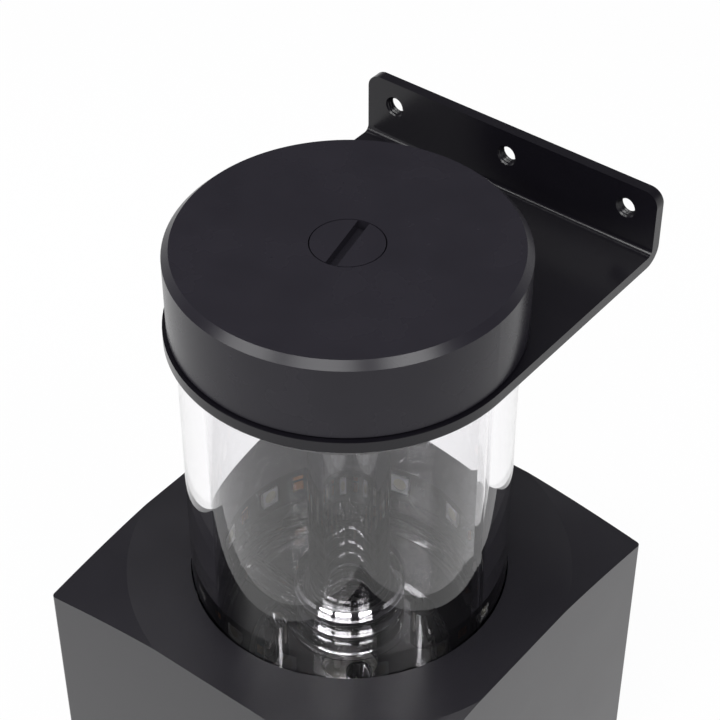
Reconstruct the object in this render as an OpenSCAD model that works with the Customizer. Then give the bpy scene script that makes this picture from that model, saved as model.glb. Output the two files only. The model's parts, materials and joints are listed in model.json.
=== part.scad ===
// Coolant pump reservoir: a glass tube between a black cap and a square pump base.
// A ring of lights in the base shines into the tube, a clear return pipe stands on
// its floor, and a spherical-rotor pump below the floor drives the coolant out.
// The origin is on the tube's axis, on the face that the base stands on.

/* [Reservoir tube] */
// Outside diameter of the glass tube
tube_d = 70; // [66:1:72]
// Wall of the glass tube
tube_wall = 5; // [4:0.5:5.5]
// Height of glass between the base and the bracket
tube_visible = 67; // [50:1:160]
// Depth of the socket that the tube stands in
socket_depth = 7; // [6:0.5:8]

/* [Return pipe] */
// Outside diameter of the clear return pipe
pipe_d = 18; // [16:0.5:19]
// Bore of the return pipe
pipe_bore = 11.6; // [9:0.2:12.6]
// Distance from the top of the return pipe to the plug above it
pipe_headroom = 8; // [5:1:20]
// Outside diameter of the collar round its foot
collar_d = 24.8; // [24:0.2:26]
// Height of the collar above the floor
collar_h = 13; // [12:0.5:15]

/* [Top cap] */
// Diameter of the cap
cap_d = 73; // [72:0.5:76]
// Height of the cap
cap_h = 18; // [14:0.5:24]
// Chamfer round the cap's top edge
cap_chamfer = 1.5; // [0.5:0.1:2]
// Diameter of the cap's threaded boss
boss_d = 47.8; // [44:0.2:50]
// Length of the threaded boss below the cap
boss_h = 8.6; // [8:0.2:16]
// Thickness of the gasket under the cap
gasket_t = 0.6; // [0.4:0.1:1]

/* [Fill plug] */
// Diameter of the plug's head
plug_head_d = 15; // [14.8:0.1:16]
// Height of the plug's head
plug_head_h = 3.4; // [3:0.1:5]
// Width of the coin slot
slot_w = 2.5; // [1.5:0.1:3]
// Depth of the coin slot
slot_depth = 2; // [1:0.1:2.4]
// Direction of the slot with the plug closed
slot_angle = 103; // [0:1:180]
// Outside diameter of the plug's thread
plug_thread_d = 13.1; // [12:0.1:13.2]
// Length of the plug's thread
plug_thread_h = 8; // [6:0.5:10]

/* [Bracket] */
// Thickness of the bracket sheet
sheet_t = 2.5; // [2:0.1:3]
// Width of the sheet and diameter of its round end
sheet_w = 74.6; // [74:0.2:78]
// Distance from the tube's axis to the front of the flange
flange_y = 54.5; // [50:0.5:70]
// Height of the flange above the sheet
flange_rise = 15; // [13:0.5:30]
// Inside radius of the bend
bend_r = 1.5; // [0.5:0.1:3]
// Radius of the flange's upper corners
flange_corner_r = 3.2; // [2:0.2:8]
// Diameter of the tapped holes
hole_d = 4.2; // [3.3:0.1:5]
// Distance between the tapped holes
hole_pitch = 30; // [20:1:32]
// Height of the holes above the sheet
hole_rise = 9; // [7:0.5:10]
// Chamfer at both ends of the tapped holes
hole_chamfer = 0.3; // [0.2:0.1:0.6]

/* [Base housing] */
// Width of the square base beyond the glass, on each side
base_margin = 12; // [11:0.5:20]
// Wall of the housing beside the blocks
base_wall = 5; // [4:0.5:6]
// Radius of the flat circle on top of the base
crown_r = 49.5; // [47:0.5:60]
// Fall of the crown towards the corners, in degrees
crown_fall = 13.6; // [4:0.2:16]
// Radius of the upright edges
edge_r = 1; // [0.5:0.1:3]
// Corner radius of the well for the blocks
well_r = 18; // [16:0.5:19]
// Thickness of the lip round the glass
lip_t = 2; // [1.5:0.1:3]
// Height of the channel for the lights
channel_h = 12; // [10:0.5:16]
// Depth of the light channel behind the glass
channel_gap = 4.2; // [3.5:0.1:4.4]

/* [Ring of lights] */
// Number of lights
led_count = 12; // [8:2:14]
// Turn of the strip round the tube, in degrees, with its two ends apart
strip_turn = 348; // [300:2:354]
// Width of a light
led_w = 5; // [3:0.1:5.4]
// Thickness of a light
led_t = 1.6; // [0.8:0.1:2]
// Width of the flexible strip
strip_w = 8; // [6:0.5:9]
// Thickness of the flexible strip
strip_t = 0.4; // [0.3:0.1:0.6]
// Distance from the strip to the ceiling of its channel
strip_drop = 0.8; // [0.2:0.1:1.4]

/* [Reservoir floor] */
// Thickness of the clear block
floor_block_h = 22; // [21:0.5:30]
// Height of the floor above the foot of the tube
floor_step = 5; // [3:0.5:6]
// Number of suction holes
suction_count = 4; // [4:4:4]
// Diameter of the suction holes
suction_d = 5.6; // [4:0.2:8]
// Radius of the circle of suction holes
suction_r = 17; // [16.8:0.2:19]
// Diameter of the drilled waterways
waterway_d = 8; // [6:0.5:9]

/* [Ports] */
// Diameter of the threaded port, cut for a G 1/4 fitting
port_d = 11.8; // [11.4:0.1:12]
// Length of the port's thread
port_h = 7; // [6:0.5:8]
// Diameter of the port bush
bush_d = 18.8; // [18:0.1:20]
// Length of the port bush
bush_l = 8.8; // [8.4:0.1:8.8]

/* [Pump top] */
// Height of the volute
volute_h = 10; // [9:0.5:12]
// Thickness of the plate with the pump's eye
eye_plate_t = 2.5; // [2:0.1:4]
// Diameter of the eye
eye_d = 13; // [10:0.5:14]
// Height of the suction chamber
chamber_h = 4.5; // [3:0.5:6]
// Gap between the impeller and the tongue of the volute
volute_gap = 1.7; // [1.3:0.1:2.2]
// Growth of the volute in one turn
volute_growth = 9; // [8.6:0.1:9]

/* [Pump] */
// Depth of the stator, from its cup to the housing
stator_w = 6.8; // [6:0.2:7]
// Wall of the motor housing
motor_wall = 3; // [2.4:0.2:3.4]
// Height of the motor housing
motor_h = 33; // [32:1:40]
// Width of the motor's flange beyond its housing
motor_flange_w = 2.5; // [2:0.1:3]
// Thickness of the motor's flange
motor_flange_t = 3.5; // [3:0.1:4]
// Radius of the round rotor
rotor_r = 19.3; // [18:0.1:19.3]
// Gap between the rotor and its cup
rotor_gap = 0.7; // [0.5:0.1:0.8]
// Wall of the rotor's cup
cup_wall = 0.8; // [0.6:0.1:1]
// Diameter of the bearing ball
ball_d = 5; // [4:0.2:6]
// Number of impeller blades
blade_count = 7; // [5:1:9]
// Height of the blades
blade_h = 4.5; // [3.5:0.1:5]
// Number of stator coils
coil_count = 6; // [6:1:8]

/* [Clamp ring and base plate] */
// Thickness of the clamp ring
clamp_t = 3.5; // [3:0.1:5]
// Width of the clamp ring beyond the motor's flange
clamp_rim = 4; // [3.8:0.1:4.6]
// Number of clamp screws
clamp_count = 8; // [4:1:8]
// Thickness of the bottom plate
plate_t = 5; // [4.6:0.2:8]
// Thickness of the rubber mat
mat_t = 3; // [2:0.2:4]
// Depth of the mat's recess in the plate
mat_recess = 1; // [0.6:0.1:1.6]

/* [Hidden] */
$fn = 96;
eps = 0.01;                              // cut-through of subtracted shapes
slip = 0.25;                             // clearance of parts that slide together by hand
thread_slip = 0.05;                      // clearance of a thread drawn as a plain cylinder
hair = 0.02;                             // clearance of parts that touch
seal_d = 1.4;                            // section of the small seals
seal_room = 0.1;                         // room round a seal in its groove

// Heights of the base, from the mat up
z_plate = mat_t - mat_recess;            // under side of the bottom plate
z_housing = z_plate + plate_t;           // lower edge of the housing
z_motor = z_housing + 1;                 // back of the motor
z_pump = z_motor + motor_h;              // flange face, floor of the volute
z_eye = z_pump + volute_h;               // under side of the eye plate
z_chamber = z_eye + eye_plate_t;         // floor of the suction chamber
z_block = z_chamber + chamber_h;         // under side of the clear block
z_socket = z_block + floor_block_h;      // top of the clear block
z_foot = z_socket - socket_depth;        // foot of the glass tube
z_floor = z_foot + floor_step;           // floor of the reservoir
z_channel = z_socket + channel_h;        // ceiling of the light channel
z_base = z_channel + lip_t;              // top of the base
z_inlet = z_foot - 1.5 - waterway_d / 2; // axis of the inlet port
z_outlet = z_eye - waterway_d / 2;       // axis of the outlet port

// Heights of the top, from the bracket up
z_sheet = z_base + tube_visible;         // under side of the bracket sheet
z_gasket = z_sheet + sheet_t;
z_cap = z_gasket + gasket_t;             // under side of the cap
z_top = z_cap + cap_h;                   // top of the cap
stopper_flange_t = 1.5;                  // flange of the tube stopper
z_glass_top = z_sheet - stopper_flange_t;
z_stopper = z_cap - boss_h;              // lower end of the stopper and of the boss
z_pipe_top = z_stopper - pipe_headroom;
stopper_h = z_glass_top - z_stopper;     // part of the stopper inside the glass

// Radii and widths that follow from the driving sizes
tube_r = tube_d / 2;
base_w = tube_d + 2 * base_margin;
bore_r = tube_r - tube_wall;
channel_r = tube_r + channel_gap;
block_w = base_w - 2 * base_wall - 2 * slip;
block_corner_r = well_r - slip;
volute_r = rotor_r + volute_gap;
outlet_x = volute_r + volute_growth - waterway_d / 2 - 0.2;
bush_face = base_w / 2;                  // outer end of the port bushes
bush_seal_d = 0.8;                       // section of the face seal behind a bush
bush_seal_r = waterway_d / 2 + 1.4;
port_chamfer = 0.9;
block_screw_d = 4;                       // corner screws through both blocks
block_screw_x = block_w / 2 - 8.15;
block_screw_z = z_pump + block_screw_d + 0.4;
block_screw_bite = 7.5;                  // thread in the housing
base_screw_d = 4;                        // corner screws of the bottom plate
base_screw_x = base_w / 2 - 7.5;
base_screw_bite = 11.5;
base_head_r = 3.4;
base_head_h = 2;
base_head_z = z_plate + 3;               // seat of the head in the plate
cup_r = rotor_r + rotor_gap;
motor_d = 2 * (cup_r + cup_wall + stator_w + motor_wall) + 0.8;
motor_flange_d = motor_d + 2 * motor_flange_w;
clamp_d = motor_flange_d + 2 * clamp_rim;
clamp_screw_d = 3;
clamp_screw_r = motor_flange_d / 2 + clamp_rim / 2;
clamp_screw_bite = 5;                    // thread in the pump top
motor_seal_r = motor_flange_d / 2 - 1.3;
stator_r = motor_d / 2 - motor_wall - 0.4;
stator_h = 10;
z_stator = z_pump - 2.2 - stator_h;
back_iron = 2;                           // thickness of the stator's outer ring
pole_w = 3.2;
coil_w = 6.8;
coil_gap = 0.05;                         // between a coil and its pole
magnet_r = rotor_r - 3.2;                // outside of the magnet's groove in the rotor
magnet_w = 4.2;
magnet_h = 8;
z_magnet = z_pump - magnet_h - 1;
hub_t = 1.5;                             // back plate of the impeller
shroud_t = 1;                            // front plate of the impeller
blade_sweep = 58;                        // turn of a blade from the eye to its tip, in degrees
impeller_lift = 0.6;                     // impeller above the floor of the volute
z_hub = z_pump + impeller_lift;
z_shroud = z_hub + hub_t + blade_h;
z_ball = z_pump - rotor_r / 2;           // centre of the bearing ball
plug_seal_d = 1;                         // section of the plug's seal
plug_pocket_d = plug_head_d + 2 * slip;
plug_pocket_h = plug_head_h + plug_seal_d;
dial_y = -18;                            // place of the speed dial
dial_d = 7;
dial_stem_d = 3;
driver_board_t = 1.6;
grommet_d = 9;
grommet_z = z_housing + grommet_d;
collar_foot_d = collar_d - 3;            // part of the collar let into the floor
collar_foot_h = 3;
collar_rows = [0.3, 0.66];               // places of the collar's seals, as shares of its height
suction_seal_r = suction_r + suction_d / 2 + 3; // seal between the two blocks
mat_w = base_w - 8;
mat_corner_r = 6;

// Ring of lights
strip_r = channel_r - 0.1;               // back of the strip, glued to the channel's wall
strip_face_r = strip_r - strip_t;
strip_z = z_channel - strip_drop - strip_w / 2;
strip_start = -53;                       // angle of the strip's first end
led_pitch = strip_turn / led_count;
part_every = 4;                          // one gap in four holds resistors, not pads
pad_w = 3;
pad_h = 2.6;
pad_t = 0.15;
resistor_w = 1.2;
resistor_h = 2;
resistor_t = 0.5;

// ---------------------------------------------------------------- shared shapes

// Square with round corners, from true arcs
module round_square(w, r) {
    square([w - 2 * r, w], center = true);
    square([w, w - 2 * r], center = true);
    for (x = [-1, 1], y = [-1, 1])
        translate([x * (w / 2 - r), y * (w / 2 - r)]) circle(r);
}

// Ring between two radii, standing on z = 0
module ring(r_out, r_in, h) {
    rotate_extrude() translate([r_in, 0]) square([r_out - r_in, h]);
}

// Seal of round section
module o_ring(r, d) {
    rotate_extrude() translate([r, 0]) circle(d / 2, $fn = 24);
}

// Places at the four corners of a square
module corners(x) {
    for (sx = [-1, 1], sy = [-1, 1]) translate([sx * x, sy * x, 0]) children();
}

// Cylinder along +Y, starting at the child's origin
module along_y(r, l) {
    rotate([-90, 0, 0]) cylinder(r = r, h = l);
}

// Cap screw with a hexagon socket, head down, its head's seat at z = 0
module cap_screw(d, l) {
    head_r = 0.85 * d;
    difference() {
        union() {
            cylinder(d = d, h = l);
            translate([0, 0, -d]) cylinder(r = head_r, h = d);
        }
        translate([0, 0, -d - eps]) cylinder(r = 0.46 * d, h = 0.55 * d, $fn = 6);
    }
}

// Clearance and counterbore for a cap screw, head down
module cap_screw_hole(d, l, head_h) {
    cylinder(d = d + 2 * thread_slip, h = l);
    translate([0, 0, -head_h]) cylinder(r = 0.85 * d + 0.15, h = head_h + eps);
}

// ---------------------------------------------------------------- top of the reservoir

// Slotted plug that closes the filling port flush with the cap
module fill_plug() {
    color("#26252b") difference() {
        union() {
            translate([0, 0, z_top - plug_head_h]) cylinder(d = plug_head_d, h = plug_head_h);
            translate([0, 0, z_top - plug_pocket_h - plug_thread_h])
                cylinder(d = plug_thread_d, h = plug_thread_h + plug_pocket_h - plug_head_h + eps);
        }
        rotate([0, 0, slot_angle]) translate([-plug_head_d, -slot_w / 2, z_top - slot_depth])
            cube([2 * plug_head_d, slot_w, slot_depth + 1]);
        translate([0, 0, z_top - plug_pocket_h - plug_thread_h - eps])
            cylinder(d = plug_thread_d - 5, h = plug_thread_h - 2);
    }
}

module fill_plug_seal() {
    color("#111113") translate([0, 0, z_top - plug_head_h - plug_seal_d / 2])
        o_ring((plug_thread_d + plug_seal_d) / 2 + thread_slip, plug_seal_d);
}

// Turned cap with a chamfered rim, a filling port and a threaded boss below
module top_cap() {
    pocket_r = boss_d / 2 - 5;
    port_wall_r = plug_thread_d / 2 + 4;
    color("#2a292f") difference() {
        rotate_extrude() polygon([
            [0, z_stopper], [boss_d / 2 - 1, z_stopper], [boss_d / 2, z_stopper + 1],
            [boss_d / 2, z_cap], [cap_d / 2, z_cap], [cap_d / 2, z_top - cap_chamfer],
            [cap_d / 2 - cap_chamfer, z_top], [0, z_top]
        ]);
        translate([0, 0, z_stopper - 1])
            cylinder(d = plug_thread_d + 2 * thread_slip, h = cap_h + boss_h + 2);
        translate([0, 0, z_top - plug_pocket_h]) cylinder(d = plug_pocket_d, h = plug_pocket_h + 1);
        translate([0, 0, z_stopper - 1]) ring(pocket_r, port_wall_r, boss_h + 1);
    }
}

// Thin gasket that shows as a dark line under the cap
module cap_gasket() {
    color("#0d0d0f") translate([0, 0, z_gasket]) ring(cap_d / 2 - 0.9, boss_d / 2 + slip, gasket_t);
}

// Folded sheet: a round end clamped under the cap, and a flange with three tapped holes
module mounting_bracket() {
    bend_y = flange_y - bend_r;
    flange_top = z_gasket + flange_rise;
    color("#232228") difference() {
        union() {
            // flat part, with straight sides back to the bend
            translate([0, 0, z_sheet]) linear_extrude(sheet_t) {
                circle(sheet_w / 2);
                translate([-sheet_w / 2, 0]) square([sheet_w, bend_y]);
            }
            // bend
            translate([-sheet_w / 2, bend_y, z_gasket + bend_r]) rotate([90, 0, 90])
                linear_extrude(sheet_w) intersection() {
                    difference() {
                        circle(bend_r + sheet_t);
                        circle(bend_r);
                    }
                    translate([0, -bend_r - sheet_t]) square(bend_r + sheet_t);
                }
            // flange, with round upper corners
            translate([0, flange_y, 0]) rotate([90, 0, 0]) translate([0, 0, -sheet_t])
                linear_extrude(sheet_t) flange_outline(z_gasket + bend_r, flange_top);
        }
        translate([0, 0, z_sheet - 1]) cylinder(r = boss_d / 2 + slip, h = sheet_t + 2);
        for (x = [-hole_pitch, 0, hole_pitch])
            translate([x, flange_y, z_gasket + hole_rise]) tapped_hole();
    }
}

module flange_outline(z_low, z_high) {
    corner_x = sheet_w / 2 - flange_corner_r;
    translate([-sheet_w / 2, z_low]) square([sheet_w, z_high - flange_corner_r - z_low]);
    translate([-corner_x, z_low]) square([2 * corner_x, z_high - z_low]);
    for (s = [-1, 1]) translate([s * corner_x, z_high - flange_corner_r]) circle(flange_corner_r);
}

// Tapped hole along Y through the flange, chamfered on both faces
module tapped_hole() {
    wide_r = hole_d / 2 + hole_chamfer;
    translate([0, -1, 0]) along_y(hole_d / 2, sheet_t + 2);
    rotate([-90, 0, 0]) cylinder(r1 = wide_r, r2 = hole_d / 2, h = hole_chamfer);
    translate([0, sheet_t, 0]) rotate([90, 0, 0])
        cylinder(r1 = wide_r, r2 = hole_d / 2, h = hole_chamfer);
}

// Stopper in the top of the tube, threaded inside for the cap
module tube_stopper() {
    body_r = bore_r - slip;
    groove_h = seal_d + 2 * seal_room;
    color("#1d1c21") difference() {
        union() {
            translate([0, 0, z_stopper]) cylinder(r = body_r, h = stopper_h);
            translate([0, 0, z_glass_top]) cylinder(r = tube_r, h = stopper_flange_t);
        }
        translate([0, 0, z_stopper - 1])
            cylinder(r = boss_d / 2 + thread_slip, h = stopper_h + stopper_flange_t + 2);
        translate([0, 0, z_stopper + (stopper_h - groove_h) / 2])
            ring(bore_r, bore_r - seal_d - seal_room, groove_h);
    }
}

module stopper_seal() {
    color("#101012") translate([0, 0, z_stopper + stopper_h / 2]) o_ring(bore_r - seal_d / 2 - hair, seal_d);
}

// ---------------------------------------------------------------- glass and return pipe

module glass_tube() {
    color("#dfe8ee", 0.3) translate([0, 0, z_foot]) ring(tube_r, bore_r, z_glass_top - z_foot);
}

// Seal between the tube and its socket
module tube_seal() {
    color("#101012") translate([0, 0, z_foot + socket_depth / 2]) o_ring(tube_r + seal_d / 2 + hair, seal_d);
}

module return_pipe() {
    z_pipe = z_floor + 1;
    color("#e6edf2", 0.35) translate([0, 0, z_pipe]) ring(pipe_d / 2, pipe_bore / 2, z_pipe_top - z_pipe);
}

// Clear collar that holds the foot of the return pipe between two black seals
module pipe_collar() {
    rim = 0.6;
    groove_h = seal_d + 2 * seal_room;
    color("#dde5ea", 0.4) difference() {
        union() {
            translate([0, 0, z_floor]) rotate_extrude() polygon([
                [0, 0], [collar_d / 2, 0], [collar_d / 2, collar_h - rim],
                [collar_d / 2 - rim, collar_h], [0, collar_h]
            ]);
            translate([0, 0, z_floor - collar_foot_h]) cylinder(d = collar_foot_d, h = collar_foot_h + eps);
        }
        translate([0, 0, z_floor - collar_foot_h - 1])
            cylinder(d = pipe_bore, h = collar_h + collar_foot_h + 2);
        translate([0, 0, z_floor + 1]) cylinder(d = pipe_d + 2 * thread_slip, h = collar_h);
        for (k = collar_rows) translate([0, 0, z_floor + k * collar_h - groove_h / 2])
            ring(pipe_d / 2 + seal_d + seal_room, pipe_d / 2 - 0.5, groove_h);
    }
}

module collar_seals() {
    color("#0e0e10") for (k = collar_rows)
        translate([0, 0, z_floor + k * collar_h]) o_ring(pipe_d / 2 + seal_d / 2 + hair, seal_d);
}

// ---------------------------------------------------------------- ring of lights

// Flexible strip round the channel's wall, with a gap between its ends
module light_strip() {
    color("#17171a") rotate([0, 0, strip_start]) translate([0, 0, strip_z - strip_w / 2])
        rotate_extrude(angle = strip_turn) translate([strip_face_r, 0]) square([strip_t, strip_w]);
}

// Places along the strip, in pitches from its first end. Y lies along the strip and X points outwards:
// the child's origin is the back of a flat part of width w, its edges just off the strip
module on_strip(place, w) {
    back_r = sqrt(pow(strip_face_r - hair, 2) - pow(w / 2, 2));
    rotate([0, 0, strip_start + place * led_pitch]) translate([back_r, 0, strip_z]) children();
}

module flat_part(size, y = 0, z = 0) {
    translate([-size[0] / 2, y, z]) cube(size, center = true);
}

// Square lights with a round window in the face
module lights() {
    window_d = 0.76 * led_w;
    window_t = 0.35;
    color("#f4f3ee") for (i = [0 : led_count - 1]) on_strip(i + 0.5, led_w) difference() {
        flat_part([led_t, led_w, led_w]);
        translate([-led_t - eps, 0, 0]) rotate([0, 90, 0]) cylinder(d = window_d, h = window_t, $fn = 32);
    }
}

// Two copper pads, one above the other, in the middle of a gap
module copper_pads() {
    color("#c9743a") for (i = [1 : led_count - 1]) if (i % part_every != 1)
        on_strip(i, pad_w) for (s = [-1, 1]) flat_part([pad_t, pad_w, pad_h], 0, s * (pad_h / 2 + 0.4));
}

// Two small resistors in the other gaps, nearer to the next light
module strip_resistors() {
    color("#3b3b40") for (i = [1 : part_every : led_count - 1]) on_strip(i + 0.22, 3 * resistor_w)
        for (s = [-1, 1])
            flat_part([resistor_t, resistor_w, resistor_h], s * resistor_w, s * resistor_h * 0.6);
}

// ---------------------------------------------------------------- base

// Square housing: the crown is flat in a circle and falls away in a cone to the corners
module base_housing() {
    far_r = base_w;
    fall = (far_r - crown_r) * tan(crown_fall);
    color("#2b2a31") difference() {
        intersection() {
            translate([0, 0, z_housing]) linear_extrude(z_base - z_housing) round_square(base_w, edge_r);
            rotate_extrude() polygon([
                [0, z_housing - 1], [far_r, z_housing - 1],
                [far_r, z_base - fall], [crown_r, z_base], [0, z_base]
            ]);
        }
        translate([0, 0, z_channel - 1]) cylinder(r = tube_r + slip, h = lip_t + 2);
        translate([0, 0, z_socket - 1]) cylinder(r = channel_r, h = channel_h + 1);
        translate([0, 0, z_housing - 1]) linear_extrude(z_socket - z_housing + 1)
            round_square(block_w + 2 * slip, well_r);
        inlet_place() along_y(bush_d / 2 + slip / 2, 2 * base_wall);
        outlet_place() along_y(bush_d / 2 + slip / 2, 2 * base_wall);
        corners(block_screw_x) translate([0, 0, z_socket - 1])
            cylinder(d = block_screw_d + 2 * thread_slip, h = block_screw_bite + 1.7);
        corners(base_screw_x) translate([0, 0, z_housing - 1])
            cylinder(d = base_screw_d + 2 * thread_slip, h = base_screw_bite + 1.7);
        translate([0, base_w / 2 - base_wall - 1, grommet_z]) along_y(grommet_d / 2, base_wall + 2);
    }
}

// The ports' places: their axes run inwards, along the child's +Y
module inlet_place() {
    translate([-bush_face - eps, 0, z_inlet]) rotate([0, 0, -90]) children();
}

module outlet_place() {
    translate([outlet_x, -bush_face - eps, z_outlet]) children();
}

// Clear block with the tube's socket, the collar's seat, suction holes and the inlet waterway
module reservoir_floor() {
    step_w = 1.5;
    step_t = 0.4;
    color("#cfd8dd", 0.45) difference() {
        translate([0, 0, z_block]) linear_extrude(floor_block_h) round_square(block_w, block_corner_r);
        translate([0, 0, z_floor]) cylinder(r = bore_r, h = z_socket - z_floor + 1);
        translate([0, 0, z_foot]) ring(tube_r + slip, bore_r - slip, socket_depth + 1);
        translate([0, 0, z_foot + socket_depth / 2 - seal_d / 2 - seal_room])
            ring(tube_r + seal_d + seal_room, tube_r, seal_d + 2 * seal_room);
        // concentric turning steps round the collar
        translate([0, 0, z_floor - step_t]) ring(bore_r - 2.5, bore_r - 2.5 - step_w, step_t + 1);
        translate([0, 0, z_floor - step_t]) ring(collar_d / 2 + step_w, collar_d / 2 - 1, step_t + 1);
        translate([0, 0, z_floor - collar_foot_h])
            cylinder(d = collar_foot_d + 2 * thread_slip, h = collar_foot_h + 1);
        translate([0, 0, z_inlet - waterway_d / 2]) cylinder(d = pipe_bore, h = z_floor - z_inlet);
        for (i = [0 : suction_count - 1]) rotate([0, 0, 45 + i * 360 / suction_count])
            translate([suction_r, 0, z_block - 1]) cylinder(d = suction_d, h = z_floor - z_block + 2);
        inlet_place() {
            along_y(waterway_d / 2, bush_face);
            along_y(bush_d / 2 + thread_slip, bush_l + 2 * eps);
        }
        corners(block_screw_x) translate([0, 0, z_block - 1])
            cylinder(d = block_screw_d + 2 * thread_slip, h = floor_block_h + 2);
        translate([0, 0, z_block - eps]) ring(suction_seal_r + 1, suction_seal_r - 1, seal_d - seal_room);
    }
}

module floor_seal() {
    color("#101012") translate([0, 0, z_block + seal_d / 2]) difference() {
        o_ring(suction_seal_r, seal_d);
        translate([0, 0, seal_d / 2 - 0.15]) ring(suction_seal_r + 1, suction_seal_r - 1, 1);
    }
}

// Outline of the volute, which grows clockwise from its tongue at +X
function volute_points() = [
    for (t = [0 : 7.5 : 360]) let (r = volute_r + volute_growth * t / 360) [r * cos(t), -r * sin(t)]
];

// Black block with the volute below and the suction chamber above
module pump_top() {
    color("#222127") difference() {
        translate([0, 0, z_pump]) linear_extrude(z_block - z_pump) round_square(block_w, block_corner_r);
        translate([0, 0, z_pump - 1]) linear_extrude(volute_h + 1) polygon(volute_points());
        translate([0, 0, z_eye - 1]) cylinder(d = eye_d, h = eye_plate_t + 2);
        translate([0, 0, z_chamber]) cylinder(r = suction_r + suction_d / 2 + 0.4, h = chamber_h + 1);
        outlet_place() {
            along_y(waterway_d / 2, bush_face + 0.5);
            along_y(bush_d / 2 + thread_slip, bush_l + 2 * eps);
        }
        inlet_place() along_y(bush_d / 2 + thread_slip, bush_l + 2 * eps);
        corners(block_screw_x) translate([0, 0, block_screw_z])
            cap_screw_hole(block_screw_d, z_block, block_screw_d + 2);
        translate([0, 0, z_pump - eps]) ring(motor_seal_r + 0.9, motor_seal_r - 0.9, seal_d);
        clamp_places() translate([0, 0, z_pump - 1])
            cylinder(d = clamp_screw_d + 2 * thread_slip, h = clamp_screw_bite + 1.5);
    }
}

// Long screws through both blocks into the housing
module block_screws() {
    color("#9a9ba0") corners(block_screw_x) translate([0, 0, block_screw_z])
        cap_screw(block_screw_d, z_socket + block_screw_bite - block_screw_z);
}

// Port bush: threaded for a fitting at its outer end, a waterway beyond
module port_bush() {
    rotate([-90, 0, 0]) difference() {
        cylinder(d = bush_d, h = bush_l);
        translate([0, 0, -1]) cylinder(d = port_d, h = port_h + 1);
        cylinder(d = waterway_d, h = bush_l + 1);
        cylinder(r1 = port_d / 2 + port_chamfer, r2 = port_d / 2, h = port_chamfer);
        translate([0, 0, bush_l - bush_seal_d])
            ring(bush_seal_r + bush_seal_d, bush_seal_r - bush_seal_d, bush_seal_d + 1);
    }
}

module inlet_bush() { color("#1f1e23") translate([eps, 0, 0]) inlet_place() port_bush(); }
module outlet_bush() { color("#1f1e23") translate([0, eps, 0]) outlet_place() port_bush(); }

module bush_seals() {
    color("#101012") {
        inlet_place() bush_seal();
        outlet_place() bush_seal();
    }
}

module bush_seal() {
    translate([0, bush_l - bush_seal_d / 2, 0]) rotate([-90, 0, 0])
        o_ring(bush_seal_r, bush_seal_d - 2 * hair);
}

// ---------------------------------------------------------------- pump

// Centre line of a backward-curved blade, as a share k of its length
function blade_point(k, side) =
    let (
        r = eye_d / 2 + 0.6 + k * (rotor_r - eye_d / 2 - 0.9),
        a = -blade_sweep * pow(k, 1.2),
        half_t = 0.55 + 0.35 * (1 - k),
        lean = a - 40
    )
    [r * cos(a) + side * half_t * sin(lean), r * sin(a) - side * half_t * cos(lean)];

module blade_outline() {
    steps = 10;
    polygon(concat(
        [for (i = [0 : steps]) blade_point(i / steps, 1)],
        [for (i = [steps : -1 : 0]) blade_point(i / steps, -1)]
    ));
}

// Closed impeller: back plate, backward-curved blades and a front plate with the eye
module impeller() {
    hub_r = 3.4;
    color("#c9cbd0") {
        translate([0, 0, z_hub]) cylinder(r = rotor_r, h = hub_t);
        translate([0, 0, z_hub + hub_t - eps]) for (i = [0 : blade_count - 1])
            rotate([0, 0, i * 360 / blade_count]) linear_extrude(blade_h + 2 * eps) blade_outline();
        translate([0, 0, z_shroud]) ring(rotor_r, eye_d / 2, shroud_t);
        translate([0, 0, z_hub + hub_t - eps]) rotate_extrude() polygon([
            [0, 0], [hub_r, 0], [hub_r * 0.72, 1.4], [hub_r * 0.3, 2.6], [0, 2.9]
        ]);
    }
}

// Round rotor below the impeller, hollow round its bearing
module rotor() {
    seat_r = ball_d / 2 + 0.05;
    z_low = z_pump - rotor_r - 1;
    color("#33343a") difference() {
        intersection() {
            translate([0, 0, z_pump]) sphere(r = rotor_r);
            translate([0, 0, z_low]) cylinder(r = rotor_r + 1, h = z_pump + impeller_lift - z_low);
        }
        translate([0, 0, z_ball]) sphere(r = seat_r, $fn = 64);
        translate([0, 0, z_low]) cylinder(r = seat_r + 1.2, h = z_ball - z_low);
        translate([0, 0, z_magnet]) ring(magnet_r, magnet_r - magnet_w, magnet_h);
    }
}

module rotor_magnet() {
    color("#5b5c63") translate([0, 0, z_magnet + thread_slip])
        ring(magnet_r - thread_slip, magnet_r - magnet_w + thread_slip, magnet_h - 2 * thread_slip);
}

module bearing_ball() {
    color("#f0efe9") translate([0, 0, z_ball]) sphere(r = ball_d / 2, $fn = 64);
}

// Post that carries the ball above the bottom of the cup
module bearing_post() {
    z_low = z_pump - cup_r - cup_wall / 2;
    color("#b9bbc0") difference() {
        translate([0, 0, z_low]) cylinder(d = ball_d - 0.6, h = z_ball - z_low);
        translate([0, 0, z_ball]) sphere(r = ball_d / 2 + 0.02, $fn = 64);
    }
}

// Thin cup between the wet rotor and the dry coils
module rotor_cup() {
    post_r = ball_d / 2 - 0.3;
    color("#a9abb1") difference() {
        union() {
            intersection() {
                translate([0, 0, z_pump]) sphere(r = cup_r + cup_wall);
                translate([0, 0, z_pump - 2 * cup_r]) cylinder(r = 2 * cup_r, h = 2 * cup_r);
            }
            translate([0, 0, z_pump - cup_wall]) cylinder(r = motor_flange_d / 2 - 3, h = cup_wall);
        }
        translate([0, 0, z_pump]) sphere(r = cup_r);
        translate([0, 0, z_pump - cup_r - cup_wall / 2]) cylinder(r = post_r + 0.02, h = cup_r);
    }
}

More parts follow.
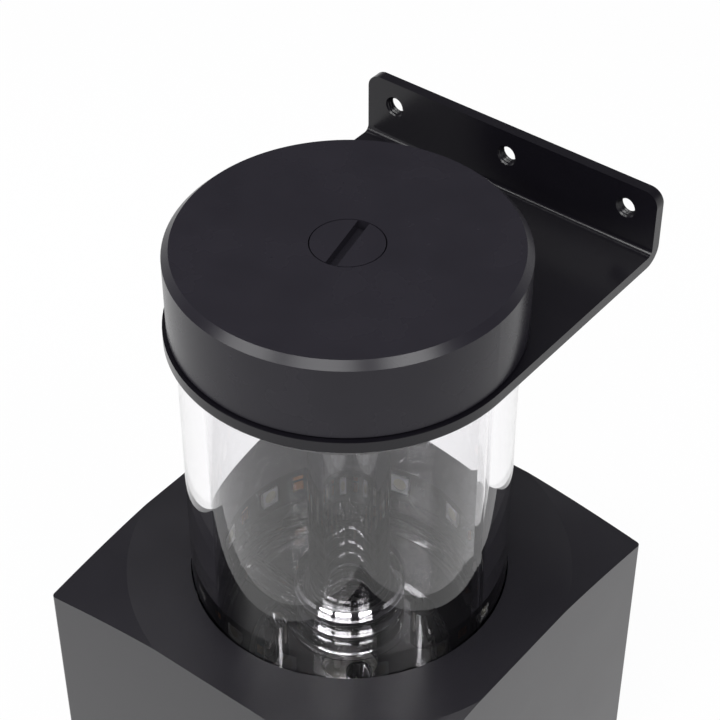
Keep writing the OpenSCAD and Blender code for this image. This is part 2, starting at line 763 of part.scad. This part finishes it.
// Laminated ring with one pole for each coil
module stator_core() {
    color("#6c6d73") difference() {
        union() {
            translate([0, 0, z_stator]) ring(stator_r, stator_r - back_iron, stator_h);
            coil_places() translate([cup_r, -pole_w / 2, z_stator + 2])
                cube([stator_r - cup_r - back_iron / 2, pole_w, stator_h - 4]);
        }
        translate([0, 0, z_pump]) sphere(r = cup_r + cup_wall + 0.1);
    }
}

module coil_places() {
    for (i = [0 : coil_count - 1]) rotate([0, 0, i * 360 / coil_count]) children();
}

// Coils round the poles, between the cup and the outer ring
module stator_coils() {
    coil_r = cup_r + 1.8;
    coil_end = sqrt(pow(stator_r - back_iron, 2) - pow(coil_w / 2, 2)) - coil_gap;
    slot_w = pole_w + 2 * coil_gap;
    color("#b5642c") coil_places() difference() {
        translate([coil_r, -coil_w / 2, z_stator + 0.4])
            cube([coil_end - coil_r, coil_w, stator_h - 0.8]);
        translate([cup_r, -slot_w / 2, z_stator + 2 - coil_gap])
            cube([stator_r - cup_r, slot_w, stator_h - 4 + 2 * coil_gap]);
        translate([0, 0, z_pump]) sphere(r = cup_r + cup_wall + 0.15);
    }
}

// Motor housing with a clamping flange and two grooves in its back
module motor_housing() {
    flange_r = motor_flange_d / 2;
    bevel = 3;
    color("#1c1c20") difference() {
        rotate_extrude() polygon([
            [0, z_motor], [motor_d / 2 - bevel, z_motor], [motor_d / 2, z_motor + bevel],
            [motor_d / 2, z_pump - motor_flange_t], [flange_r, z_pump - motor_flange_t],
            [flange_r, z_pump - hair], [0, z_pump - hair]
        ]);
        translate([0, 0, z_pump - cup_wall - hair]) cylinder(r = flange_r - 3 + thread_slip, h = 2);
        translate([0, 0, z_motor + motor_wall]) cylinder(r = motor_d / 2 - motor_wall, h = motor_h);
        translate([0, dial_y, z_motor - 1]) cylinder(d = dial_d + 2 * slip, h = motor_wall + 2);
        for (k = [0.2, 0.44]) translate([0, 0, z_motor - eps]) ring(k * motor_d, k * motor_d - 1.4, 0.8);
    }
}

module driver_board() {
    color("#1f5a38") translate([0, 0, z_motor + 5]) difference() {
        cylinder(r = motor_d / 2 - motor_wall - 0.2, h = driver_board_t);
        translate([0, dial_y, -1]) cylinder(d = dial_stem_d + 2 * thread_slip, h = driver_board_t + 2);
    }
}

// Speed dial in the motor's back, turned with a screwdriver
module speed_dial() {
    slot = 1;
    color("#b3262b") translate([0, dial_y, z_motor]) difference() {
        union() {
            translate([0, 0, -0.6]) cylinder(d = dial_d, h = motor_wall + 1.2);
            translate([0, 0, motor_wall + 0.5]) cylinder(d = dial_stem_d, h = 3);
        }
        translate([-dial_d / 2 - 1, -slot / 2, -slot]) cube([dial_d - 0.1, slot, slot + 0.6]);
    }
}

module pump_seal() {
    color("#101012") translate([0, 0, z_pump + seal_d / 2]) o_ring(motor_seal_r, seal_d - 2 * hair);
}

// Places of the clamp screws, round the axis
module clamp_places() {
    for (i = [0 : clamp_count - 1]) rotate([0, 0, (i + 0.5) * 360 / clamp_count])
        translate([clamp_screw_r, 0, 0]) children();
}

module clamp_ring() {
    z_low = z_pump - motor_flange_t - clamp_t;
    color("#2c2c32") difference() {
        union() {
            translate([0, 0, z_low]) ring(clamp_d / 2, motor_d / 2 + slip, clamp_t);
            translate([0, 0, z_low]) ring(clamp_d / 2, motor_flange_d / 2 + slip, clamp_t + motor_flange_t);
        }
        clamp_places() translate([0, 0, z_low - 1])
            cylinder(d = clamp_screw_d + 2 * thread_slip, h = clamp_t + motor_flange_t + 2);
    }
}

module clamp_screws() {
    z_low = z_pump - motor_flange_t - clamp_t;
    color("#a4a5aa") clamp_places() translate([0, 0, z_low])
        cap_screw(clamp_screw_d, clamp_t + motor_flange_t + clamp_screw_bite);
}

// ---------------------------------------------------------------- underside

// Bottom plate with a recess for the mat, sunk screws and an opening for the dial
module bottom_plate() {
    color("#27262c") difference() {
        translate([0, 0, z_plate]) linear_extrude(plate_t) round_square(base_w, edge_r);
        translate([0, 0, z_plate - 1]) linear_extrude(mat_recess + 1)
            round_square(mat_w + 2 * slip, mat_corner_r);
        corners(base_screw_x) translate([0, 0, z_plate - 1]) {
            cylinder(d = base_screw_d + 2 * thread_slip, h = plate_t + 2);
            cylinder(r = base_head_r + slip, h = base_head_z - z_plate + 1);
        }
        translate([0, dial_y, z_plate - 1]) cylinder(d = dial_d + 3, h = plate_t + 2);
    }
}

module bottom_screws() {
    color("#8f9096") corners(base_screw_x) difference() {
        union() {
            translate([0, 0, base_head_z])
                cylinder(d = base_screw_d, h = z_housing - base_head_z + base_screw_bite);
            translate([0, 0, base_head_z - base_head_h]) cylinder(r = base_head_r, h = base_head_h);
        }
        translate([0, 0, base_head_z - base_head_h - eps]) cylinder(r = 1.45, h = 1.3, $fn = 6);
    }
}

// Soft mat that the base stands on, with access to the screws and the dial
module rubber_mat() {
    color("#151517") difference() {
        linear_extrude(mat_t) round_square(mat_w, mat_corner_r);
        corners(base_screw_x) translate([0, 0, -1]) cylinder(r = base_head_r + 0.8, h = mat_t + 2);
        translate([0, dial_y, -1]) cylinder(d = dial_d + 3, h = mat_t + 2);
    }
}

// Grommet in the back wall, where the motor's lead comes out
module cable_grommet() {
    lip = 1.4;
    bore = 1.8;
    groove_r = grommet_d / 2 - hair;
    lip_r = groove_r + 1.2;
    wall = base_wall + hair;
    color("#121214") translate([0, base_w / 2 - base_wall, grommet_z]) rotate([-90, 0, 0])
        rotate_extrude() polygon([
            [bore, -lip], [lip_r, -lip], [lip_r, -hair], [groove_r, -hair],
            [groove_r, wall], [lip_r, wall], [lip_r - 0.6, wall + lip], [bore, wall + lip]
        ]);
}

// ---------------------------------------------------------------- nodes

fill_plug();
fill_plug_seal();
top_cap();
cap_gasket();
mounting_bracket();
tube_stopper();
stopper_seal();
glass_tube();
tube_seal();
return_pipe();
pipe_collar();
collar_seals();
light_strip();
lights();
copper_pads();
strip_resistors();
base_housing();
reservoir_floor();
floor_seal();
pump_top();
block_screws();
inlet_bush();
outlet_bush();
bush_seals();
impeller();
rotor();
rotor_magnet();
bearing_ball();
bearing_post();
rotor_cup();
stator_core();
stator_coils();
motor_housing();
driver_board();
speed_dial();
pump_seal();
clamp_ring();
clamp_screws();
bottom_plate();
bottom_screws();
rubber_mat();
cable_grommet();
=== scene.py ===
import json
import math

import bmesh
import bpy
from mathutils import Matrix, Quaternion, Vector


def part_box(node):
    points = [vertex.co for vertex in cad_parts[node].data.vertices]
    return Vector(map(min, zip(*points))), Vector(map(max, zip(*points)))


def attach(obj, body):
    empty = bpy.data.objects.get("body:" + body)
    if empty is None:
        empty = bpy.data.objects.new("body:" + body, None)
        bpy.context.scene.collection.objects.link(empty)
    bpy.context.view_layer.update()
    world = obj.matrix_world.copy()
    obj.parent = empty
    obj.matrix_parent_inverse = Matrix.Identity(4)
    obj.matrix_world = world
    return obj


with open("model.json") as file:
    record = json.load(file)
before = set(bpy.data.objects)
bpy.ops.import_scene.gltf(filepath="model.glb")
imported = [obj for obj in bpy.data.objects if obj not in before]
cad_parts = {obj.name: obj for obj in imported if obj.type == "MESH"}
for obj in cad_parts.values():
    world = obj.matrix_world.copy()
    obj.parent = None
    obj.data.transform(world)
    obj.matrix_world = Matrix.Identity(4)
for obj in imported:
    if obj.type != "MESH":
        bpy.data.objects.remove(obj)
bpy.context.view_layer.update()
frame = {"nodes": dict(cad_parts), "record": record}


# The room: a white floor under the object and a white surround, with four soft lights above.
# The camera looks down at a front corner of the base, from high up.
class Wire:
    """An output of a shader node. Sums of wires add Math nodes, and node() adds any other node."""

    def __init__(self, tree, socket=None):
        self.tree = tree
        self.socket = socket

    def node(self, kind, settings=(), sockets=(), out=0):
        """Adds a node, sets its settings first and its sockets next, and returns one of its outputs."""
        made = self.tree.nodes.new(kind)
        for name, value in dict(settings).items():
            if name == "stops":
                stops = made.color_ramp.elements
                while len(stops) > 1:
                    stops.remove(stops[0])
                stops[0].position, stops[0].color = value[0]
                for place, colour in value[1:]:
                    stops.new(place).color = colour
            else:
                setattr(made, name, value)
        for name, value in dict(sockets).items():
            if isinstance(value, Wire):
                self.tree.links.new(value.socket, made.inputs[name])
            else:
                made.inputs[name].default_value = value
        return Wire(self.tree, made.outputs[out])

    def to(self, socket):
        self.tree.links.new(self.socket, socket)

    def math(self, operation, first, second=0.0):
        return self.node("ShaderNodeMath", {"operation": operation}, {0: first, 1: second})

    def __add__(self, other):
        return self.math("ADD", self, other)

    def __sub__(self, other):
        return self.math("SUBTRACT", self, other)

    def __rsub__(self, other):
        return self.math("SUBTRACT", other, self)

    def __mul__(self, other):
        return self.math("MULTIPLY", self, other)

    def __truediv__(self, other):
        return self.math("DIVIDE", self, other)

    def __pow__(self, other):
        return self.math("POWER", self, other)

    def __mod__(self, other):
        return self.math("FLOORED_MODULO", self, other)

    def __gt__(self, other):
        return self.math("GREATER_THAN", self, other)

    def __lt__(self, other):
        return self.math("LESS_THAN", self, other)

    __radd__ = __add__
    __rmul__ = __mul__

    def parts(self):
        """The x, y and z of a vector."""
        split = self.node("ShaderNodeSeparateXYZ", (), {"Vector": self})
        return [Wire(self.tree, out) for out in split.socket.node.outputs]

    def clip(self, low, high, at_low=0.0, at_high=1.0):
        """A smooth rise from at_low to at_high as this goes from low to high."""
        return self.node(
            "ShaderNodeMapRange",
            {"interpolation_type": "SMOOTHSTEP"},
            {"Value": self, "From Min": low, "From Max": high, "To Min": at_low, "To Max": at_high},
        )

    def noise(self, scale, detail=2.0):
        return self.node("ShaderNodeTexNoise", (), {"Vector": self, "Scale": scale, "Detail": detail})

    def colour(self, first, second):
        """The colour first where this is 0 and second where it is 1."""
        return self.node(
            "ShaderNodeMix", {"data_type": "RGBA"}, {0: self, 6: (*first, 1), 7: (*second, 1)}, out=2
        )

    def bump(self, depth, strength=1.0):
        """A normal from this height, of which 1 is depth metres."""
        return self.node("ShaderNodeBump", (), {"Height": self, "Distance": depth, "Strength": strength})


def new_tree(name):
    """A material without nodes, and a wire that starts its tree."""
    material = bpy.data.materials.new(name)
    material.use_nodes = True
    material.node_tree.nodes.clear()
    return material, Wire(material.node_tree)


def end_tree(wire, surface, kind="ShaderNodeOutputMaterial"):
    output = wire.tree.nodes.new(kind)
    surface.to(output.inputs["Surface"])


floor_half = 3.0
seen_white = 0.94
room_white = (1.0, 1.0, 1.0)

bpy.ops.object.select_all(action="DESELECT")
bpy.ops.mesh.primitive_plane_add(size=2 * floor_half, location=(0, 0, 0))
floor = bpy.context.object
floor.name = "floor"
floor_paint, start = new_tree("floor_paint")
path = start.node("ShaderNodeLightPath")
seen = sum(
    (Wire(start.tree, path.socket.node.outputs[ray]) for ray in ("Is Glossy Ray", "Is Transmission Ray")),
    Wire(start.tree, path.socket.node.outputs["Is Camera Ray"]),
).clip(0, 1, 0, seen_white)
matt = start.node("ShaderNodeBsdfDiffuse", (), {"Color": (0.8, 0.8, 0.8, 1)})
bright = start.node("ShaderNodeEmission", (), {"Color": (*room_white, 1), "Strength": 1.0})
end_tree(start, start.node("ShaderNodeMixShader", (), {0: seen, 1: matt, 2: bright}))
floor_paint.cycles.emission_sampling = "NONE"
floor.data.materials.append(floor_paint)

world = bpy.data.worlds.new("surround")
bpy.context.scene.world = world
world.use_nodes = True
world.node_tree.nodes.clear()
start = Wire(world.node_tree)
path = start.node("ShaderNodeLightPath")
direct, glossy, through = (
    Wire(start.tree, path.socket.node.outputs[ray])
    for ray in ("Is Camera Ray", "Is Glossy Ray", "Is Transmission Ray")
)
height = start.node("ShaderNodeTexCoord", out=0).parts()[2]
ceiling = height.clip(0.05, 0.45, 1.0, 0.09)
veil = height.clip(0.05, 0.45, 1.0, 0.30)
ambient = 0.36
strength = direct + through * veil + glossy * ceiling + (1 - direct - through - glossy) * ambient
tint = (height.clip(0.05, 0.45) * (1 - direct)).colour(room_white, (0.93, 0.91, 1.0))
end_tree(
    start,
    start.node("ShaderNodeBackground", (), {"Color": tint, "Strength": strength}),
    "ShaderNodeOutputWorld",
)

camera_azimuth = math.radians(38.557)
camera_elevation = math.radians(41.403)
camera_roll = math.radians(-0.321)
camera_distance = 0.42643
camera_film = 36.0
camera_lens = 103.348
camera_shift = (0.01606, 0.03249)
looked_at = Vector((0, 0, 0.1456))


def direction(azimuth, elevation):
    """The unit vector from the object towards an azimuth, 0 at the front and growing to the right."""
    return Vector(
        (
            math.sin(azimuth) * math.cos(elevation),
            -math.cos(azimuth) * math.cos(elevation),
            math.sin(elevation),
        )
    )


camera_data = bpy.data.cameras.new("camera")
camera_data.sensor_width = camera_film
camera_data.lens = camera_lens
camera_data.shift_x, camera_data.shift_y = camera_shift
camera = bpy.data.objects.new("camera", camera_data)
bpy.context.scene.collection.objects.link(camera)
to_camera = direction(camera_azimuth, camera_elevation)
camera.location = looked_at + to_camera * camera_distance
camera.rotation_mode = "QUATERNION"
camera.rotation_quaternion = to_camera.to_track_quat("Z", "Y") @ Quaternion((0, 0, 1), camera_roll)
bpy.context.scene.camera = camera

# azimuth from the camera's, elevation, distance, width, height, power
soft_lights = {
    "light_left": (-64, 40, 0.9, 0.40, 0.30, 4.2),
    "light_middle": (-17, 49, 0.9, 0.45, 0.25, 4.2),
    "light_right": (40, 46, 0.9, 0.36, 0.25, 4.2),
    "light_back": (180, 68, 1.0, 0.60, 0.30, 3.0),
}
for name, (turn, elevation, distance, width, length, power) in soft_lights.items():
    lamp = bpy.data.lights.new(name, "AREA")
    lamp.shape = "RECTANGLE"
    lamp.size, lamp.size_y, lamp.energy = width, length, power
    holder = bpy.data.objects.new(name, lamp)
    bpy.context.scene.collection.objects.link(holder)
    out = direction(camera_azimuth + math.radians(turn), math.radians(elevation))
    holder.location = looked_at + out * distance
    holder.rotation_mode = "QUATERNION"
    holder.rotation_quaternion = out.to_track_quat("Z", "Y")

bpy.context.scene.view_settings.view_transform = "Standard"


# Base housing: a square block of black acetal, milled all over and lightly blasted.
# Its flat crown falls away towards the corners, and the well inside holds the pump.
def new_finish(name, **constants):
    """A material with one Principled shader: the material, the shader, and a wire of Object coordinates."""
    material, wire = new_tree(name)
    surface = wire.node("ShaderNodeBsdfPrincipled")
    shader = surface.socket.node
    for socket, value in constants.items():
        shader.inputs[socket.replace("_", " ")].default_value = value
    end_tree(wire, surface)
    return material, shader, wire.node("ShaderNodeTexCoord", out="Object")


def satin_black(name, colour, roughness, spread, grain, depth, **constants):
    """Black plastic or paint: its tone and gloss wander a little, over a fine grain."""
    material, shader, place = new_finish(name, **constants)
    cloud = place.noise(90, 3)
    cloud.colour([0.85 * c for c in colour], [1.15 * c for c in colour]).to(shader.inputs["Base Color"])
    (roughness + (cloud - 0.5) * spread).to(shader.inputs["Roughness"])
    place.noise(grain, 2).bump(depth).to(shader.inputs["Normal"])
    return material


def dress(material, *names):
    """Gives CAD nodes a material."""
    for name in names:
        for place in frame["nodes"][name].material_slots:
            place.material = material


black = (0.0105, 0.0098, 0.0125)
housing_black = satin_black("housing_black", black, 0.30, 0.06, 2600, 4e-6)
dress(housing_black, "base_housing")


# Bottom plate of the same acetal, held by four steel screws, on a soft rubber mat.
# The mat has a fine texture pressed into it and takes up the pump's hum.
plate_black = satin_black("plate_black", (0.014, 0.014, 0.016), 0.42, 0.08, 1800, 6e-6)
dress(plate_black, "bottom_plate")
mat_rubber, shader, place = new_finish("mat_rubber")
x, y, z = place.parts()
dimple_wave = 3142
x_phase = x * dimple_wave
y_phase = y * dimple_wave
pressed = (x_phase.math("SINE", x_phase) * y_phase.math("SINE", y_phase)).clip(-0.6, 0.6)
place.noise(60, 3).colour((0.012, 0.012, 0.013), (0.020, 0.020, 0.021)).to(shader.inputs["Base Color"])
(pressed * 0.08 + 0.74).to(shader.inputs["Roughness"])
pressed.bump(2e-5, 0.5).to(shader.inputs["Normal"])
dress(mat_rubber, "rubber_mat", "cable_grommet")


def plated_steel(name, colour, roughness):
    """Turned steel: rings that follow the screw's own turning are too fine to see, so the grain is even."""
    material, shader, place = new_finish(name, Metallic=1.0)
    wear = place.noise(700, 3)
    wear.colour([0.8 * c for c in colour], colour).to(shader.inputs["Base Color"])
    (roughness + wear * 0.15).to(shader.inputs["Roughness"])
    place.noise(4000, 2).bump(3e-6).to(shader.inputs["Normal"])
    return material


screw_steel = plated_steel("screw_steel", (0.52, 0.52, 0.54), 0.22)
dress(screw_steel, "bottom_screws", "clamp_screws", "block_screws")


# Motor: a black moulded housing round the stator's laminations and copper coils, with its board below.
# A clamp ring with eight screws holds it against the pump top, and the red dial sets its speed.
moulded_black = satin_black("moulded_black", (0.016, 0.016, 0.018), 0.46, 0.10, 1500, 1.2e-5)
dress(moulded_black, "motor_housing")
ring_black = satin_black("ring_black", (0.013, 0.013, 0.014), 0.34, 0.08, 2200, 5e-6)
dress(ring_black, "clamp_ring")

lamination_steel, shader, place = new_finish("lamination_steel", Metallic=1.0)
x, y, z = place.parts()
sheets_per_metre = 2000
sheets = (z * sheets_per_metre % 1.0).clip(0.05, 0.25)
sheets.colour((0.08, 0.08, 0.09), (0.33, 0.34, 0.36)).to(shader.inputs["Base Color"])
(0.55 - sheets * 0.15).to(shader.inputs["Roughness"])
sheets.bump(3e-5).to(shader.inputs["Normal"])
dress(lamination_steel, "stator_core")

enamelled_wire, shader, place = new_finish("enamelled_wire", Metallic=1.0)
wires_per_metre = 2500
x, y, z = place.parts()
from_crown = z * wires_per_metre % 1.0 - 0.5
turn_edge_and_shade = from_crown.math("ABSOLUTE", from_crown)
# The copper colour darkens from each turn's crown towards the gap beside the next turn: painted shade in the
# creases between the windings. The same mask also sets the roughness and the bump of each turn's round
# profile.
turn_edge_and_shade.colour((0.72, 0.26, 0.10), (0.30, 0.09, 0.03)).to(shader.inputs["Base Color"])
(turn_edge_and_shade * 0.3 + 0.22).to(shader.inputs["Roughness"])
(1 - turn_edge_and_shade).bump(1.2e-4).to(shader.inputs["Normal"])
dress(enamelled_wire, "stator_coils")

board_green, shader, place = new_finish("board_green", Coat_Weight=0.4, Coat_Roughness=0.15)
x, y, z = place.parts()
tracks = ((x * 700 + place.noise(120, 0) * 2) % 1.0).clip(0.55, 0.62)
tracks.colour((0.008, 0.055, 0.022), (0.020, 0.120, 0.045)).to(shader.inputs["Base Color"])
(place.noise(500) * 0.1 + 0.35).to(shader.inputs["Roughness"])
tracks.bump(2e-5).to(shader.inputs["Normal"])
dress(board_green, "driver_board")

dial_red, shader, place = new_finish("dial_red")
place.noise(400).colour((0.42, 0.018, 0.014), (0.52, 0.026, 0.020)).to(shader.inputs["Base Color"])
(place.noise(900) * 0.12 + 0.34).to(shader.inputs["Roughness"])
place.noise(3000).bump(8e-6).to(shader.inputs["Normal"])
dress(dial_red, "speed_dial")


# Turning group of the pump: an ivory impeller on a black rotor with its magnet, on a ceramic ball.
# The ball sits on a steel post, in the thin cup that keeps the water off the coils.
def moulded(name, colour, roughness):
    """Moulded plastic in a plain colour, with a faint flow in its tone and a soft skin."""
    material, shader, place = new_finish(name)
    place.noise(140, 3).colour([0.9 * c for c in colour], colour).to(shader.inputs["Base Color"])
    (place.noise(700) * 0.1 + roughness).to(shader.inputs["Roughness"])
    place.noise(2500).bump(6e-6).to(shader.inputs["Normal"])
    return material


dress(moulded("impeller_ivory", (0.72, 0.69, 0.60), 0.34), "impeller")
dress(moulded("rotor_black", (0.020, 0.020, 0.022), 0.32), "rotor")
dress(moulded("cup_grey", (0.16, 0.16, 0.17), 0.38), "rotor_cup")
dress(plated_steel("post_steel", (0.62, 0.62, 0.64), 0.16), "bearing_post")
dress(plated_steel("magnet_grey", (0.17, 0.17, 0.18), 0.42), "rotor_magnet")
ceramic, shader, place = new_finish("ceramic", Coat_Weight=0.6, Coat_Roughness=0.03)
place.noise(900).colour((0.66, 0.64, 0.58), (0.74, 0.72, 0.68)).to(shader.inputs["Base Color"])
(place.noise(1500) * 0.04 + 0.10).to(shader.inputs["Roughness"])
dress(ceramic, "bearing_ball")


# Pump top of black acetal with the spiral chamber, and its two threaded port bushes.
# Rubber rings seal it to the motor, to the floor above it and behind the bushes.
dress(satin_black("pump_black", black, 0.34, 0.08, 2200, 5e-6), "pump_top", "inlet_bush", "outlet_bush")
seal_rubber, shader, place = new_finish("seal_rubber")
place.noise(500).colour((0.006, 0.006, 0.006), (0.014, 0.014, 0.014)).to(shader.inputs["Base Color"])
(place.noise(900) * 0.15 + 0.42).to(shader.inputs["Roughness"])
place.noise(4000).bump(1e-5).to(shader.inputs["Normal"])
dress(seal_rubber, "pump_seal", "floor_seal", "bush_seals", "collar_seals", "tube_seal")
dress(seal_rubber, "stopper_seal", "cap_gasket", "fill_plug_seal")


# Floor block and the collar of clear acrylic. The top of the floor is turned, which leaves fine rings in it.
# The collar holds the foot of the return pipe with two black rings.
def clear_finish(name, colour, ior, roughness):
    """Clear glass or acrylic. Returns its shader and coordinates, for marks in its surface."""
    material, shader, place = new_finish(name, IOR=ior)
    shader.inputs["Transmission Weight"].default_value = 1.0
    place.noise(60).colour([0.99 * c for c in colour], colour).to(shader.inputs["Base Color"])
    (place.noise(200) * 0.01 + roughness).to(shader.inputs["Roughness"])
    return material, shader, place


clear_floor, shader, place = clear_finish("clear_floor", (0.975, 0.970, 0.985), 1.49, 0.004)
x, y, z = place.parts()
radius = (x * x + y * y) ** 0.5
rings_per_metre = 1400
ring_phase = radius * (rings_per_metre * 6.2832)
rings = ring_phase.math("SINE", ring_phase)
rings.bump(1.5e-6).to(shader.inputs["Normal"])
dress(clear_floor, "reservoir_floor")
clear_acrylic, shader, place = clear_finish("clear_acrylic", (0.985, 0.980, 0.992), 1.49, 0.0)
dress(clear_acrylic, "return_pipe", "pipe_collar")


# Ring of lights: a black flexible strip on the channel's wall, with square white lights that look inwards.
# Copper pads show where the strip may be cut, with small resistors between.
strip_black, shader, place = new_finish("strip_black", Coat_Weight=0.3, Coat_Roughness=0.2)
x, y, z = place.parts()
place.noise(300).colour((0.008, 0.008, 0.009), (0.016, 0.015, 0.015)).to(shader.inputs["Base Color"])
(place.noise(800) * 0.12 + 0.38).to(shader.inputs["Roughness"])
dress(strip_black, "light_strip")
light_white, shader, place = new_finish("light_white")
place.noise(600).colour((0.88, 0.88, 0.87), (0.94, 0.94, 0.94)).to(shader.inputs["Base Color"])
(place.noise(900) * 0.1 + 0.30).to(shader.inputs["Roughness"])
dress(light_white, "lights")
def new_piece(name, made, material, body):
    """Makes a mesh object from a bmesh, with its material and body."""
    bmesh.ops.recalc_face_normals(made, faces=made.faces)
    mesh = bpy.data.meshes.new(name)
    made.to_mesh(mesh)
    made.free()
    mesh.materials.append(material)
    piece = bpy.data.objects.new(name, mesh)
    bpy.context.scene.collection.objects.link(piece)
    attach(piece, body)
    return piece



light_count = 12
light_step = math.radians(29)
first_light = math.radians(-38.5)
window_radius = 0.00185
window_rise = 0.00025
window_steps = 28
dome_rings = 3
lights_low, lights_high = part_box("lights")
strip_thickness = 0.0004
strip_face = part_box("light_strip")[1].x - strip_thickness
light_width = lights_high.z - lights_low.z
light_depth = 0.0016
window_depth = 0.00035
glue_gap = 0.00002
light_z = (lights_low.z + lights_high.z) / 2
light_back = ((strip_face - glue_gap) ** 2 - (light_width / 2) ** 2) ** 0.5
window_floor = light_back - light_depth + window_depth
made = bmesh.new()
for i in range(light_count):
    angle = first_light + i * light_step
    inwards = Vector((-math.cos(angle), -math.sin(angle), 0))
    along = Vector((-math.sin(angle), math.cos(angle), 0))
    centre = -inwards * window_floor + Vector((0, 0, light_z))
    circles = []
    for k in range(dome_rings):
        share = k / dome_rings
        circles.append(
            [
                made.verts.new(
                    centre
                    + inwards * window_rise * (1 - (1 - share) ** 2)
                    + window_radius * (1 - share)
                    * (along * math.cos(turn) + Vector((0, 0, math.sin(turn))))
                )
                for turn in (2 * math.pi * j / window_steps for j in range(window_steps))
            ]
        )
    for lower, upper in zip(circles, circles[1:]):
        for j in range(window_steps):
            made.faces.new((lower[j], lower[j - 1], upper[j - 1], upper[j]))
    made.faces.new(circles[-1])
    made.faces.new(circles[0][::-1])
window_gel, shader, place = new_finish("window_gel", Coat_Weight=0.5, Coat_Roughness=0.08)
place.noise(900).colour((0.86, 0.83, 0.66), (0.93, 0.91, 0.78)).to(shader.inputs["Base Color"])
(place.noise(1400) * 0.08 + 0.22).to(shader.inputs["Roughness"])
new_piece("light_windows", made, window_gel, "reservoir")
copper, shader, place = new_finish("copper", Metallic=1.0)
place.noise(1500).colour((0.72, 0.30, 0.12), (0.86, 0.42, 0.20)).to(shader.inputs["Base Color"])
(place.noise(2500) * 0.2 + 0.30).to(shader.inputs["Roughness"])
dress(copper, "copper_pads")
dress(moulded("resistor_black", (0.02, 0.02, 0.022), 0.3), "strip_resistors")


# Tube of clear borosilicate glass with a thick, polished wall.
# It stands in the floor's socket on a rubber ring and carries the cap's stopper.
clear_glass, shader, place = clear_finish("clear_glass", (0.988, 0.982, 0.996), 1.48, 0.0)
dress(clear_glass, "glass_tube")


# Stopper, bracket and cap. The bracket is folded from black sheet and lies clamped under the turned cap.
# A slotted plug, turned flush with the cap's top, closes the filling hole.
sheet_black = satin_black(
    "sheet_black", (0.0050, 0.0045, 0.0064), 0.25, 0.06, 3000, 4e-6, Specular_IOR_Level=0.3
)
dress(sheet_black, "mounting_bracket")
cap_black = satin_black(
    "cap_black", (0.0122, 0.0112, 0.0150), 0.27, 0.06, 3000, 3e-6, Specular_IOR_Level=0.2
)
dress(cap_black, "top_cap", "fill_plug")
dress(satin_black("stopper_black", (0.006, 0.0055, 0.0075), 0.34, 0.06, 3000, 3e-6), "tube_stopper")


# Threads of the bracket's three holes, cut by a tap: a fine ridge that winds through the sheet.
# Each ridge is part of the steel, under the same black coat.
hole_radius = 0.0021
sheet_thickness = 0.0025
thread_pitch = 0.0008
thread_depth = 0.0003
thread_steps = 36
thread_sink = 0.00003
thread_fade = 8
thread_foot = 0.42 * thread_pitch


def thread_ridge(made, x, y_start, z):
    """One ridge along Y, from y_start: it grows out of the hole's wall, winds through and fades again."""
    count = round((sheet_thickness / thread_pitch - 1) * thread_steps)
    rings = []
    for step in range(count + 1):
        angle = 2 * math.pi * step / thread_steps
        along = y_start + thread_pitch * (0.5 + step / thread_steps)
        reach = hole_radius - thread_depth * min(1, step / thread_fade, (count - step) / thread_fade)
        corners = (
            (hole_radius + thread_sink, -thread_foot),
            (reach, 0.0),
            (hole_radius + thread_sink, thread_foot),
        )
        rings.append(
            [
                made.verts.new((x + r * math.cos(angle), along + shift, z + r * math.sin(angle)))
                for r, shift in corners
            ]
        )
    for first, second in zip(rings, rings[1:]):
        for k in range(3):
            made.faces.new((first[k], first[k - 1], second[k - 1], second[k]))
    made.faces.new(rings[0])
    made.faces.new(rings[-1][::-1])


mounts = {mount["name"]: mount for mount in frame["record"]["mounts"]}
middle = mounts["bracket_middle_hole"]["pos_m"]
outer = mounts["bracket_holes"]["dims"]["spacing_x_mm"] / 2000
made = bmesh.new()
for x in (-outer, 0, outer):
    thread_ridge(made, x, middle[1] - sheet_thickness / 2, middle[2])
new_piece("bracket_threads", made, sheet_black, "reservoir")
